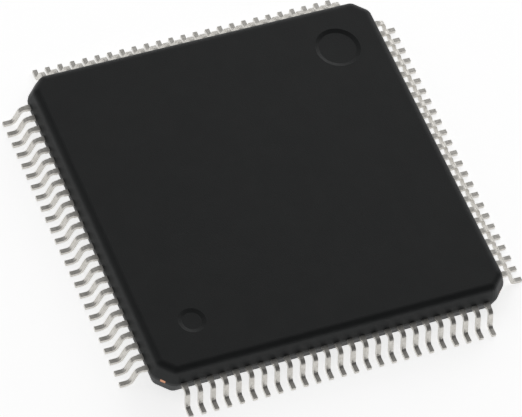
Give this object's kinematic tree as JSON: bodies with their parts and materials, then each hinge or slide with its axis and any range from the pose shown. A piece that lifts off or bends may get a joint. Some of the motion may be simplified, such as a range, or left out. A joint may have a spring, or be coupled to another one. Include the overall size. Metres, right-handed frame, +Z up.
{
  "type": "quad flat pack chip",
  "caption": "Square low-profile flat pack integrated circuit with gull-wing leads along all four sides.",
  "frame": {"origin": "centre of the footprint, on the plane that the lead feet stand on", "axes": "+Z up out of the marked face, +X and +Y along the sides, so that the lead 1 dimple is in the -X -Y corner and the ejector recess in the +X +Y corner"},
  "size_m": [0.016, 0.016, 0.0014],
  "materials": {
    "resin": "fine matte moulded epoxy",
    "copper": "rolled copper sheet",
    "silver_epoxy": "cured silver-filled adhesive",
    "silicon": "polished silicon",
    "tinned_lead": "matte tin plate over copper",
    "gold": "drawn gold wire"
  },
  "bodies": {
    "root": {"mold_body": "resin", "die_paddle": "copper", "die_attach": "silver_epoxy", "die": "silicon", "leads_front": "tinned_lead", "leads_right": "tinned_lead", "leads_back": "tinned_lead", "leads_left": "tinned_lead", "wires_front": "gold", "wires_right": "gold", "wires_back": "gold", "wires_left": "gold"}
  },
  "joints": []
}
